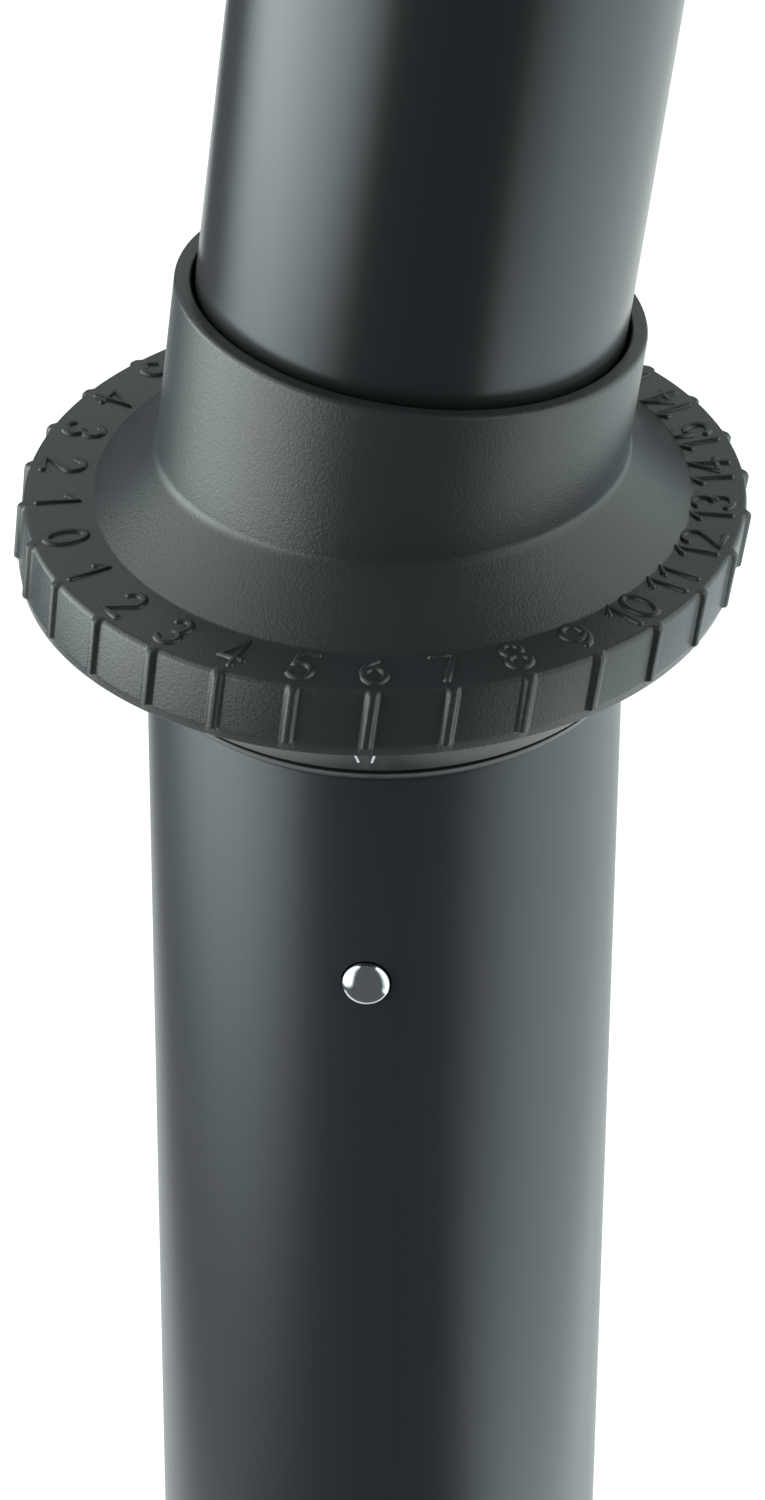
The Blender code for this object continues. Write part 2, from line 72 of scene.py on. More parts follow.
# %% The two halves' frames
joint = next(j for j in frame["record"]["behaviour"]["joints"] if j["name"] == "scale_turn")
mounts = {m["name"]: m for m in frame["record"]["mounts"]}
pivot = Vector(joint["pos_m"])
bolt = Vector(joint["axis"]).normalized()
upper = Vector(mounts["load_end"]["axis"]).normalized()
up = Vector((0, 0, 1))
WEDGE = up.angle(bolt)


def turn_about(axis, start, end):
    """The signed angle from one direction to another, seen along an axis."""
    a = start - axis * start.dot(axis)
    b = end - axis * end.dot(axis)
    return math.atan2(axis.dot(a.cross(b)), a.dot(b))


head_turn = turn_about(bolt, up, upper)
BASE = Matrix.Translation(pivot)
HEAD = Matrix.Translation(pivot) @ Matrix.Rotation(head_turn, 4, bolt)
SCALE_STEPS = 30
print("wedge", round(math.degrees(WEDGE), 2), "reading", round(-head_turn / math.tau * SCALE_STEPS, 2))

# %% [markdown]
# ## Sizes
#
# Sizes are in millimetres. Radii are measured from the half's own tube. A level is measured along
# the bolt from the pivot point, which is how a slanted face is dimensioned on a drawing.

# %% Sizes
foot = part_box("lower_tube")[0][2] / MM - pivot.z / MM
LOWER_RADIUS = (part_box("lower_tube")[1][0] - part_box("lower_tube")[0][0]) / 2 / MM
cap_top = (Vector(mounts["load_end"]["pos_m"]) - pivot).length / MM
LOWER_BORE = LOWER_RADIUS - 2
UPPER_RADIUS = 17.5
UPPER_BORE = 15.5
CAP_THICKNESS = 2.5
TUBE_TOP_LEVEL = -14.0  # the lower tube's slanted end
BUSH_RADIUS, BUSH_TOP_RADIUS = 20.6, 23.6  # its collar flares upwards
BUSH_FOOT_LEVEL = -13.7  # lower edge of the bush's collar
FLARE_TOP_LEVEL = -8.5
BUSH_TOP_LEVEL = -6.9
RIM_RADIUS = 29.6
RIM_TOP, RIM_FOOT = -0.2, -6.35
SKIRT_LEVEL, SKIRT_RADIUS = -5.3, 29.35  # below the ribs the rim draws in to this radius
BAND_INNER = 24.8  # where the cone starts
CREASE_LEVEL = 4.4  # where the cone meets the collar
COLLAR_RADIUS, COLLAR_BORE, COLLAR_TOP = 19.2, 17.8, 17.4
PIN_RADIUS = 2
PIN_PLAY = 0.12  # between the pin and its holes
REACH = 40  # half the length of a hole's cutter
pin_height = (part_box("cross_pin")[0][2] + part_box("cross_pin")[1][2]) / 2 / MM - pivot.z / MM
print("lower radius", round(LOWER_RADIUS, 3), "foot", round(foot, 1), "cap top", round(cap_top, 1))

# %% [markdown]
# ## A profile with rounded corners
#
# Almost every piece here is turned: a profile swept round an axis. The slanted pieces are turned
# too, but their rings are cut by a slanted plane, like a sausage cut at an angle. So a corner of a
# profile carries, besides its radius and height, how much it follows the slanted plane (`tilt`), how
# far its circle is moved off the axis (`shift`) and how much it is narrowed in that direction
# (`squeeze`). A real moulding or a sawn tube has no knife edges, so a corner also has a radius, and
# `soften` replaces the corner with points on a true arc.

# %% Profile corners
Corner = namedtuple("Corner", "radius height round tilt shift squeeze", defaults=(0, 0, 0, 1))


def soften(before, corner, after, steps=6):
    """The corner itself, or points on the arc that rounds it."""
    if not corner.round:
        return [corner]
    start, point, end = (complex(c.radius, c.height) for c in (before, corner, after))
    to_start = (start - point) / abs(start - point)
    to_end = (end - point) / abs(end - point)
    half = abs(cmath.phase(to_end / to_start)) / 2
    middle = to_start + to_end
    centre = point + middle / abs(middle) * corner.round / math.sin(half)
    first = point + to_start * corner.round / math.tan(half) - centre
    last = point + to_end * corner.round / math.tan(half) - centre
    sweep = cmath.phase(last / first)
    arc = [centre + first * cmath.exp(1j * sweep * i / steps) for i in range(steps + 1)]
    return [corner._replace(radius=p.real, height=p.imag) for p in arc]


def soft_profile(corners, closed=True):
    """Every corner softened. An open profile keeps its two ends as they are."""
    points = []
    for i, corner in enumerate(corners):
        if not closed and i in (0, len(corners) - 1):
            points.append(corner)
        else:
            points += soften(corners[i - 1], corner, corners[(i + 1) % len(corners)])
    return points


def slanted(level, y):
    """Height, at y, of the plane square to the bolt at a level."""
    return (level + math.sin(WEDGE) * y) / math.cos(WEDGE)


def ring(corner, angles):
    """The corner swept round the axis, in millimetres."""
    points = []
    for angle in angles:
        x = corner.radius * math.cos(angle)
        y = corner.shift + corner.squeeze * corner.radius * math.sin(angle)
        z = corner.height + corner.tilt * (slanted(corner.height, y) - corner.height)
        points.append((x, y, z))
    return points


print("a rounded corner has", len(soften(Corner(2, 2), Corner(2, 0, 0.5), Corner(0, 0))), "points")

# %% [markdown]
# ## Skin between the rings
#
# Two neighbouring rings are joined by a band of quads. A tube or washer has a closed profile, whose
# last ring meets its first. A solid's profile starts and ends on the axis, and its end rings shrink
# to a point, so their doubles are merged. Building the skin by hand, and not with a Screw modifier,
# is what allows the slanted rings and the uneven spacing that the ribs need later.

# %% Turned skins


def even_angles(count):
    """Angles at equal steps round the axis."""
    return [math.tau * i / count for i in range(count)]


def turned(name, corners, angles, closed=True):
    """A mesh, in metres and in its half's frame, of a softened profile swept round the axis."""
    rings = [ring(corner, angles) for corner in soft_profile(corners, closed)]
    size = len(angles)
    points = [tuple(value * MM for value in point) for each in rings for point in each]
    faces = []
    for i in range(len(rings) - (0 if closed else 1)):
        j = (i + 1) % len(rings)
        for k in range(size):
            m = (k + 1) % size
            faces.append((i * size + k, j * size + k, j * size + m, i * size + m))
    mesh = bpy.data.meshes.new(name)
    mesh.from_pydata(points, [], faces)
    if not closed:
        merge_poles(mesh)
    mesh.shade_smooth()
    mesh.set_sharp_from_angle(angle=math.radians(40))
    return mesh


def merge_poles(mesh):
    """Make one point of each ring that has shrunk onto the axis."""
    shape = bmesh.new()
    shape.from_mesh(mesh)
    bmesh.ops.remove_doubles(shape, verts=shape.verts, dist=1e-6)
    bmesh.ops.recalc_face_normals(shape, faces=shape.faces)
    shape.to_mesh(mesh)
    shape.free()


# %% [markdown]
# ## Colour and material helpers
#
# Colours are written as the hex values that a paint or plastic swatch would show, and one function
# turns them to the linear values that a shader works with. One more function adds a node with its
# settings and its links, which keeps each material down to the few lines that say what it is.

# %% Material helpers


def linear(hex_colour):
    """Linear colour, with alpha, of an sRGB hex value."""
    values = [int(hex_colour[i : i + 2], 16) / 255 for i in (1, 3, 5)]
    return [v / 12.92 if v <= 0.04045 else ((v + 0.055) / 1.055) ** 2.4 for v in values] + [1]


def add(tree, kind, inputs=None, **settings):
    """A node of a kind, with its settings. An input is given a value, or a socket to link from."""
    made = tree.nodes.new(kind)
    for name, value in settings.items():
        setattr(made, name, value)
    for name, value in (inputs or {}).items():
        if isinstance(value, bpy.types.NodeSocket):
            tree.links.new(value, made.inputs[name])
        else:
            made.inputs[name].default_value = value
    return made


def new_material(name):
    """A material, its node tree and its shader."""
    made = bpy.data.materials.new(name)
    made.use_nodes = True
    return made, made.node_tree, made.node_tree.nodes["Principled BSDF"]


def per_metre(size_mm):
    """A texture scale that repeats about every so many millimetres."""
    return 1 / (size_mm * MM)


# %% [markdown]
# ## Coated steel
#
# The lower tube is powder coated: dry paint powder is sprayed on and melted, and it sets with a
# faint orange peel about a millimetre across. The upper tube has to slide into a socket, so it is
# coated thinner and smoother. Both are near black, with an insulator's reflection, and the
# reflection does all the work. The peel is a bump a few microns high, and the gloss varies a little.

# %% Coated steel


def coated_steel(name, colour, roughness, peel_mm, peel_height_mm):
    """Black coat over steel."""
    material, tree, shader = new_material(name)
    place = add(tree, "ShaderNodeTexCoord").outputs["Object"]
    peel = add(
        tree,
        "ShaderNodeTexNoise",
        {"Vector": place, "Scale": per_metre(peel_mm), "Detail": 2.0},
    )
    cloud = add(tree, "ShaderNodeTexNoise", {"Vector": place, "Scale": per_metre(25), "Detail": 3.0})
    gloss = add(
        tree,
        "ShaderNodeMapRange",
        {
            "Value": cloud.outputs["Fac"],
            "From Min": 0.3,
            "From Max": 0.7,
            "To Min": roughness * 0.95,
            "To Max": roughness * 1.05,
        },
    )
    bump = add(
        tree,
        "ShaderNodeBump",
        {"Height": peel.outputs["Fac"], "Strength": 1.0, "Distance": peel_height_mm * MM},
    )
    shader.inputs["Base Color"].default_value = linear(colour)
    shader.inputs["IOR"].default_value = 1.5
    tree.links.new(gloss.outputs["Result"], shader.inputs["Roughness"])
    tree.links.new(bump.outputs["Normal"], shader.inputs["Normal"])
    return material


powder_coat = coated_steel("powder_coated_steel", "#292B2F", 0.3, 1.1, 0.004)
satin_coat = coated_steel("satin_coated_steel", "#202223", 0.24, 0.8, 0.0015)
print("coats", powder_coat.name, satin_coat.name)

# %% [markdown]
# ## Moulded nylon
#
# The dial is glass-filled nylon moulded in a spark-eroded tool, which leaves a fine, dry grain of
# about 0.1 mm. It is drawn at 0.24 mm, because finer would vanish. The bush is the same plastic from
# a polished tool, so it has more gloss and hardly any grain. The reflection of both is slightly warm.

# %% Moulded nylon


def moulded_nylon(name, colour, dust, roughness, grain_mm, grain_height_mm):
    """Black nylon with the grain of its mould."""
    material, tree, shader = new_material(name)
    place = add(tree, "ShaderNodeTexCoord").outputs["Object"]
    grain = add(
        tree,
        "ShaderNodeTexNoise",
        {"Vector": place, "Scale": per_metre(grain_mm), "Detail": 3.0, "Roughness": 0.6},
    )
    flow = add(tree, "ShaderNodeTexNoise", {"Vector": place, "Scale": per_metre(9), "Detail": 4.0})
    tint = add(
        tree,
        "ShaderNodeMix",
        {"Factor": flow.outputs["Fac"], 6: linear(colour), 7: linear(dust)},
        data_type="RGBA",
    )
    dryness = add(
        tree,
        "ShaderNodeMapRange",
        {
            "Value": grain.outputs["Fac"],
            "From Min": 0.3,
            "From Max": 0.7,
            "To Min": roughness * 0.9,
            "To Max": roughness * 1.1,
        },
    )
    bump = add(
        tree,
        "ShaderNodeBump",
        {"Height": grain.outputs["Fac"], "Strength": 1.0, "Distance": grain_height_mm * MM},
    )
    tree.links.new(tint.outputs[2], shader.inputs["Base Color"])
    tree.links.new(dryness.outputs["Result"], shader.inputs["Roughness"])
    tree.links.new(bump.outputs["Normal"], shader.inputs["Normal"])
    shader.inputs["IOR"].default_value = 1.47
    shader.inputs["Specular Tint"].default_value = linear("#FFFAF4")
    return material


grained_nylon = moulded_nylon("grained_nylon", "#272A2B", "#2D3031", 0.32, 0.24, 0.034)
smooth_nylon = moulded_nylon("smooth_nylon", "#202224", "#26282A", 0.2, 0.3, 0.003)
print("plastics", grained_nylon.name, smooth_nylon.name)

# %% [markdown]
# ## Metals, acetal and marking paint
#
# A metal's colour is the colour of its reflection, and it keeps the default IOR. Zinc plate is
# slightly blue and cloudy. Spring steel is darker from its oil. The pin is polished, so it is nearly
# a mirror with fine turning marks.

# %% Metals, acetal and paint


def metal(name, colour, roughness, grain_mm, unevenness):
    """Bare or plated metal whose gloss varies with its surface."""
    material, tree, shader = new_material(name)
    place = add(tree, "ShaderNodeTexCoord").outputs["Object"]
    grain = add(
        tree,
        "ShaderNodeTexNoise",
        {"Vector": place, "Scale": per_metre(grain_mm), "Detail": 4.0},
    )
    gloss = add(
        tree,
        "ShaderNodeMapRange",
        {
            "Value": grain.outputs["Fac"],
            "From Min": 0.3,
            "From Max": 0.7,
            "To Min": roughness - unevenness,
            "To Max": roughness + unevenness,
        },
    )
    bump = add(
        tree,
        "ShaderNodeBump",
        {"Height": grain.outputs["Fac"], "Strength": 0.4, "Distance": 0.003 * MM},
    )
    shader.inputs["Base Color"].default_value = linear(colour)
    shader.inputs["Metallic"].default_value = 1.0
    tree.links.new(gloss.outputs["Result"], shader.inputs["Roughness"])
    tree.links.new(bump.outputs["Normal"], shader.inputs["Normal"])
    return material


def plain_solid(name, colour, roughness, speck_mm):
    """A pale solid, such as acetal or marking paint, with a fine unevenness."""
    material, tree, shader = new_material(name)
    place = add(tree, "ShaderNodeTexCoord").outputs["Object"]
    speck = add(
        tree,
        "ShaderNodeTexNoise",
        {"Vector": place, "Scale": per_metre(speck_mm), "Detail": 2.0},
    )
    bump = add(tree, "ShaderNodeBump", {"Height": speck.outputs["Fac"], "Distance": 0.004 * MM})
    shader.inputs["Base Color"].default_value = linear(colour)
    shader.inputs["Roughness"].default_value = roughness
    tree.links.new(bump.outputs["Normal"], shader.inputs["Normal"])
    return material


polished_steel = metal("polished_steel", "#D2D4D3", 0.12, 0.4, 0.03)
zinc_plate = metal("zinc_plated_steel", "#AEB3B8", 0.34, 0.9, 0.08)
spring_steel = metal("oiled_spring_steel", "#6B6763", 0.38, 0.7, 0.06)
acetal = plain_solid("natural_acetal", "#E2DFD5", 0.42, 0.5)
marking_paint = plain_solid("white_marking_paint", "#E4E7EC", 0.5, 0.2)
print("metals and solids made")

# %% [markdown]
# ## From a mesh to a piece
#
# A mesh is made in its half's frame.

# %% Making pieces


def piece(name, mesh, half, material, body, stands_for=()):
    """An object at the origin whose mesh is in place, riding on a body."""
    mesh.name = name
    mesh.transform(half)
    mesh.materials.clear()
    mesh.materials.append(material)
    made = bpy.data.objects.new(name, mesh)
    bpy.context.scene.collection.objects.link(made)
    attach(made, body)
    if stands_for:
        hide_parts(*stands_for)
    print(name, len(mesh.vertices), "points")
    return made


def rod(name, radius, low, high, turn, sides=48):
    """A plain bar in millimetres, to cut holes with."""
    shape = bmesh.new()
    place = turn @ Matrix.Translation((0, 0, (low + high) / 2))
    bmesh.ops.create_cone(
        shape,
        cap_ends=True,
        segments=sides,
        radius1=radius,
        radius2=radius,
        depth=high - low,
        matrix=Matrix.Scale(MM, 4) @ place,
    )
    mesh = bpy.data.meshes.new(name)
    shape.to_mesh(mesh)
    shape.free()
    return mesh


def cut_by(mesh, *cutters):
    """The mesh with holes cut by other meshes."""
    body = bpy.data.objects.new("to_cut", mesh)
    tools = [bpy.data.objects.new("cutter", cutter) for cutter in cutters]
    for thing in [body, *tools]:
        bpy.context.scene.collection.objects.link(thing)
    for tool in tools:
        body.modifiers.new("cut", "BOOLEAN").object = tool
    result = plain_mesh(body)
    for thing in [body, *tools]:
        bpy.data.objects.remove(thing, do_unlink=True)
    result.shade_smooth()
    result.set_sharp_from_angle(angle=math.radians(40))
    return result


def plain_mesh(made):
    """What an object's modifiers give, as a mesh of its own."""
    graph = bpy.context.evaluated_depsgraph_get()
    graph.update()
    return bpy.data.meshes.new_from_object(made.evaluated_get(graph), depsgraph=graph)


# %% [markdown]
# ## The camera
#
# The connector is seen close up from the front and well above, so its scale can be read. The
# direction is given as an azimuth from the index mark and an elevation. The aim point lies a
# little below the pivot, and the camera is rolled by less than half a degree.

# %% Camera
AZIMUTH = math.radians(3.9)
ELEVATION = math.radians(28.28)
ROLL = 0.0065
DISTANCE = 376.5 * MM
aim = pivot + Vector((-0.13, -0.01, -24.9)) * MM
back = Vector(
    (
        math.sin(AZIMUTH) * math.cos(ELEVATION),
        -math.cos(AZIMUTH) * math.cos(ELEVATION),
        math.sin(ELEVATION),
    )
)
camera = bpy.data.objects.new("camera", bpy.data.cameras.new("camera"))
camera.data.sensor_width = 36
camera.data.lens = 106.1
camera.data.clip_start = 0.01
camera.location = aim + back * DISTANCE
camera.rotation_mode = "QUATERNION"
camera.rotation_quaternion = (
    (-back).to_track_quat("-Z", "Y").to_matrix() @ Matrix.Rotation(ROLL, 3, "Z")
).to_quaternion()
bpy.context.scene.collection.objects.link(camera)
bpy.context.scene.camera = camera
print("camera at", [round(v, 3) for v in camera.location])

# %% [markdown]
# ## The studio
#
# A black object is lit by what it reflects, so the studio is laid out by where each surface looks.
# A tall diffuser stands to the left with its lamp low behind it, so it has a hot middle and fades
# towards the front and downwards. A weaker one stands to the right. The air in front is left dark,
# and that gives the tubes their dark middle. A white floor starts beside the connector, runs back
# and to the right, and stops a short way off to the left. The tubes' outer edges reflect it as
# bright outlines. A card high up behind lights the flat scale band.
#
# A diffuser is a panel that glows unevenly. Its place runs from 0 to 1 along it, from the camera's
# side to the back, and from 0 to 1 upwards, and a colour ramp each way says how bright it is.

# %% Diffusers


def ramp(tree, value, stops):
    """Brightness along a panel, from stops of place and level."""
    made = add(tree, "ShaderNodeValToRGB", {"Fac": value})
    band = made.color_ramp
    for place, level in stops[1:-1]:
        band.elements.new(place)
    for element, (place, level) in zip(band.elements, stops):
        element.position = place
        element.color = (level, level, level, 1)
    return made.outputs["Color"]


def glow(name, colour, strength, along=None, upwards=None):
    """Light that a panel gives off, evened out or shaped by ramps."""
    material, tree, shader = new_material(name)
    shader.inputs["Base Color"].default_value = linear("#000000")
    shader.inputs["Emission Color"].default_value = linear(colour)
    shader.inputs["Emission Strength"].default_value = strength
    if along:
        place = add(tree, "ShaderNodeTexCoord").outputs["UV"]
        split = add(tree, "ShaderNodeSeparateXYZ", {"Vector": place})
        level = add(
            tree,
            "ShaderNodeMath",
            {0: ramp(tree, split.outputs["X"], along), 1: ramp(tree, split.outputs["Y"], upwards)},
            operation="MULTIPLY",
        )
        full = add(tree, "ShaderNodeMath", {0: level.outputs[0], 1: strength}, operation="MULTIPLY")
        tree.links.new(full.outputs[0], shader.inputs["Emission Strength"])
    return material


def panel(name, corners, material):
    """A four-sided card that isn't part of the object. The camera looks through it."""
    mesh = bpy.data.meshes.new(name)
    mesh.from_pydata(corners, [], [(0, 1, 2, 3)])
    layer = mesh.uv_layers.new(name="place")
    for loop, place in zip(layer.data, ((0, 0), (1, 0), (1, 1), (0, 1))):
        loop.uv = place
    mesh.materials.append(material)
    made = bpy.data.objects.new(name, mesh)
    made.visible_camera = False
    bpy.context.scene.collection.objects.link(made)
    return made


STUDIO = Matrix.Rotation(AZIMUTH, 4, "Z")


def upright(side, near, far, low, high, lean=0):
    """Corners of a panel beside the connector. Lean lowers its near end and raises its far end."""
    return [
        STUDIO @ Vector((side, near, low - lean)),
        STUDIO @ Vector((side, far, low + lean)),
        STUDIO @ Vector((side, far, high)),
        STUDIO @ Vector((side, near, high)),
    ]


left_glow = glow(
    "left_diffuser",
    "#EDFBFB",
    7.5,
    [(0.0, 0.0), (0.15, 0.25), (0.34, 0.59), (0.61, 0.98), (0.76, 1.0), (0.85, 0.7), (1.0, 0.13)],
    [(0.0, 0.0), (0.09, 0.32), (0.19, 0.9), (0.35, 1.0), (0.55, 0.4), (1.0, 0.36)],
)
right_glow = glow(
    "right_diffuser",
    "#E9F9FA",
    3.6,
    [(0.0, 0.1), (0.4, 1.0), (0.6, 0.9), (0.8, 0.75), (1.0, 0.6)],
    [(0.0, 1.0), (0.1, 0.9), (0.2, 0.52), (0.26, 0.68), (0.5, 0.76), (1.0, 0.69)],
)
panel("left_panel", upright(-0.5, -0.78, 0.42, -0.23, 1.05, 0.19), left_glow)
panel("right_panel", upright(0.5, -0.7, 0.62, -0.5, 0.85), right_glow)
back_corners = [(0.7, 0.9, 0.55), (-0.7, 0.9, 0.55), (-0.7, 0.6, 1.2), (0.7, 0.6, 1.2)]
panel("back_card", [STUDIO @ Vector(c) for c in back_corners], glow("back_card", "#F4FAFA", 0.9))
print("diffusers placed")

# %% Floor and surroundings
FLOOR_HEIGHT = -0.45
FLOOR_LEFT, FLOOR_RIGHT, FLOOR_FRONT, FLOOR_BACK = -0.62, 3, -0.1, 5
floor_plan = [
    (FLOOR_LEFT, FLOOR_FRONT),
    (FLOOR_RIGHT, FLOOR_FRONT),
    (FLOOR_RIGHT, FLOOR_BACK),
    (FLOOR_LEFT, FLOOR_BACK),
]
floor_corners = [STUDIO @ Vector((x, y, FLOOR_HEIGHT)) for x, y in floor_plan]
floor = panel("white_floor", floor_corners, glow("white_floor", "#F4FCFB", 1.25))
floor.visible_camera = True

world = bpy.data.worlds.new("studio_air")
world.use_nodes = True
air = world.node_tree
air.nodes.clear()
dim_air = add(air, "ShaderNodeBackground", {"Color": linear("#C8D2D8"), "Strength": 0.2})
white_air = add(air, "ShaderNodeBackground", {"Color": linear("#FFFFFF"), "Strength": 1.05})
mixed = add(
    air,
    "ShaderNodeMixShader",
    {
        0: add(air, "ShaderNodeLightPath").outputs["Is Camera Ray"],
        1: dim_air.outputs[0],
        2: white_air.outputs[0],
    },
)
add(air, "ShaderNodeOutputWorld", {"Surface": mixed.outputs[0]})
bpy.context.scene.world = world
bpy.context.scene.view_settings.view_transform = "Standard"
print("floor at", FLOOR_HEIGHT)

# %% [markdown]
# ## The lower tube
#
# Steel tube, sawn square below and slanted above, deburred and coated. Its cross pin goes right
# through, so the tube is turned first and the holes are cut afterwards. The skin has 360 strips,
# because a glossy tube shows every flat.

# %% Lower tube
tube_corners = [
    Corner(LOWER_RADIUS, TUBE_TOP_LEVEL, 0.3, 1),
    Corner(LOWER_RADIUS, foot, 0.5),
    Corner(LOWER_BORE, foot, 0.5),
    Corner(LOWER_BORE, TUBE_TOP_LEVEL, 0.3, 1),
]
ACROSS = Matrix.Translation((0, 0, pin_height)) @ Matrix.Rotation(math.pi / 2, 4, "X")
tube_mesh = turned("lower", tube_corners, even_angles(360))
pin_hole = rod("pin_hole", PIN_RADIUS + PIN_PLAY, -REACH, REACH, ACROSS)
piece(
    "coated_lower_tube",
    cut_by(tube_mesh, pin_hole),
    BASE,
    powder_coat,
    "base",
    ["lower_tube"],
)

# %% [markdown]
# ## The cross pin
#
# A stainless pin keeps the bush in the tube. Its ends are turned to a dome and polished, so each
# shows as a small bright eye.

# %% Cross pin
pin_length = LOWER_RADIUS + 0.1
DOME = 0.85


def dome_corner(angle, side):
    """A point on the pin's domed end. Side is 1 or -1."""
    return Corner(PIN_RADIUS * math.sin(angle), side * (pin_length + DOME * math.cos(angle)))


dome_angles = [math.pi / 2 * i / 12 for i in range(13)]
pin_corners = [dome_corner(a, 1) for a in dome_angles]
pin_corners += [dome_corner(a, -1) for a in reversed(dome_angles)]
pin_mesh = turned("pin", pin_corners, even_angles(64), closed=False)
level_axis = Matrix.Translation((0, 0, pin_height * MM)) @ Matrix.Rotation(math.pi / 2, 4, "X")
piece(
    "domed_pin",
    pin_mesh,
    BASE @ level_axis,
    polished_steel,
    "base",
    ["cross_pin"],
)

# %% [markdown]
# ## The bush
#
# The bush closes the tube with the slanted face that the dial turns on. What shows is a low collar
# that flares upwards, with a fine shadow groove just above its lower edge. Below it a spigot goes
# down into the tube, with a pocket for the bolt's head. The washer's recess and the bolt's bore are
# round about the bolt and not about the tube, which is what `shift` and `squeeze` are for.

# %% Bush


def round_the_bolt(radius, level, rounding=0):
    """A corner whose ring is a true circle about the bolt."""
    shift = -math.sin(WEDGE) * level
    return Corner(radius, level, rounding, 1, shift, math.cos(WEDGE))


bush_foot = mounts["pole_stop"]["pos_m"][2] / MM - pivot.z / MM
cavity_roof = pin_height + PIN_RADIUS + 1
SPIGOT_RADIUS, CAVITY_RADIUS = 17.7, 14.5
BOLT_BORE, BORE_FOOT = 5.4, -33.2
RECESS_RADIUS, RECESS_FLOOR = 18.3, -8.6
POCKET_ACROSS_FLATS, POCKET_FOOT, POCKET_ROOF = 17.6, -38, -25.7
GROOVE_LEVEL, GROOVE_DEPTH = -12.6, 0.35
FLARE = (BUSH_TOP_RADIUS - BUSH_RADIUS) / (FLARE_TOP_LEVEL - BUSH_FOOT_LEVEL)


def flared(level):
    """Radius of the bush's collar at a level."""
    return BUSH_RADIUS + FLARE * (min(level, FLARE_TOP_LEVEL) - BUSH_FOOT_LEVEL)


def groove_corner(above, depth, rounding):
    """A corner of the shadow groove."""
    level = GROOVE_LEVEL + above
    return Corner(flared(level) - depth, level, rounding, 1)


bush_corners = [
    Corner(BUSH_TOP_RADIUS, BUSH_TOP_LEVEL, 0.4, 1),
    Corner(BUSH_TOP_RADIUS, FLARE_TOP_LEVEL, 0.8, 1),
    groove_corner(0.25, 0, 0.08),
    groove_corner(0.15, GROOVE_DEPTH, 0.06),
    groove_corner(-0.15, GROOVE_DEPTH, 0.06),
    groove_corner(-0.25, 0, 0.08),
    Corner(BUSH_RADIUS, BUSH_FOOT_LEVEL, 0.2, 1),
    Corner(SPIGOT_RADIUS, BUSH_FOOT_LEVEL, 0.1, 1),
    Corner(SPIGOT_RADIUS, bush_foot, 0.6),
    Corner(CAVITY_RADIUS, bush_foot, 0.4),
    Corner(CAVITY_RADIUS, cavity_roof, 0.8),
    round_the_bolt(BOLT_BORE, BORE_FOOT, 0.2),
    round_the_bolt(BOLT_BORE, RECESS_FLOOR, 0.2),
    round_the_bolt(RECESS_RADIUS, RECESS_FLOOR, 0.2),
    round_the_bolt(RECESS_RADIUS, BUSH_TOP_LEVEL, 0.2),
]
hex_pocket = rod(
    "hex_pocket",
    POCKET_ACROSS_FLATS / math.sqrt(3),
    POCKET_FOOT,
    POCKET_ROOF,
    Matrix.Rotation(WEDGE, 4, "X"),
    6,
)
bush_pin_hole = rod("bush_pin_hole", PIN_RADIUS + PIN_PLAY, -REACH, REACH, ACROSS)
bush_mesh = turned("bush", bush_corners, even_angles(360))
piece(
    "moulded_bush",
    cut_by(bush_mesh, hex_pocket, bush_pin_hole),
    BASE,
    smooth_nylon,
    "base",
    ["wedge_bush"],
)

# %% [markdown]
# ## The dial, cone and collar
#
# This is one moulding, and the piece that a hand turns. Its profile has two kinds of face. The rim,
# the scale band and the foot of the cone are square to the bolt. The collar's mouth is square to
# the upper tube, which leans the other way. The walls of the rim and the collar are parallel to the
# upper tube, so a loft from slanted rings to level rings gives the true shape with no seam. Below
# the ribs the rim draws in slightly to a short skirt.
#
# The thirty ribs will be pressed out of the rim's wall, so the skin needs points where a rib's
# flanks are. `bay_angles` spaces them closely across a rib and widely across the bay between two.

# %% Dial body
RIB_WIDTH, RIB_FLANK, RIB_PROUD = 0.8, 0.45, 0.45


def bay_angles(count, half_rib, fine, coarse):
    """Angles round the axis, close together across each rib. A rib stands at -Y."""
    bay = math.tau / count
    across = [-half_rib + 2 * half_rib * i / fine for i in range(fine + 1)]
    between = [half_rib + (bay - 2 * half_rib) * i / coarse for i in range(1, coarse)]
    return [bay * step - math.pi / 2 + angle for step in range(count) for angle in across + between]


# The hollow between the rim and the hub narrows towards its top, so that the mould's core lets go.
HOLLOW_MOUTH_INNER, HOLLOW_MOUTH_OUTER = 24.3, 27.2
HOLLOW_TOP_INNER, HOLLOW_TOP_OUTER, HOLLOW_TOP = 24.5, 27.0, -2.6
BOLT_HOLE, COLLAR_FLOOR = 6, -2.9

dial_corners = [
    Corner(RIM_RADIUS, RIM_TOP, 0.5, 1),
    Corner(RIM_RADIUS, SKIRT_LEVEL, 0.4, 1),
    Corner(SKIRT_RADIUS, RIM_FOOT, 0.2, 1),
    Corner(HOLLOW_MOUTH_OUTER, RIM_FOOT, 0.15, 1),
    Corner(HOLLOW_TOP_OUTER, HOLLOW_TOP, 0.4, 1),
    Corner(HOLLOW_TOP_INNER, HOLLOW_TOP, 0.4, 1),
    Corner(HOLLOW_MOUTH_INNER, RIM_FOOT, 0.15, 1),
    round_the_bolt(BOLT_HOLE, RIM_FOOT, 0.2),
    round_the_bolt(BOLT_HOLE, COLLAR_FLOOR, 0.2),
    Corner(COLLAR_BORE, COLLAR_FLOOR, 0.3, 1),
    Corner(COLLAR_BORE, COLLAR_TOP, 0.25),
    Corner(COLLAR_RADIUS, COLLAR_TOP, 0.4),
    Corner(COLLAR_RADIUS, CREASE_LEVEL, 1.2, 1),
    Corner(
        BAND_INNER,
        RIM_TOP,
        0.5,
        1,
        math.sin(WEDGE) * (CREASE_LEVEL - RIM_TOP),
        math.cos(WEDGE),
    ),
]
half_rib = (RIB_WIDTH / 2 + RIB_FLANK) / RIM_RADIUS
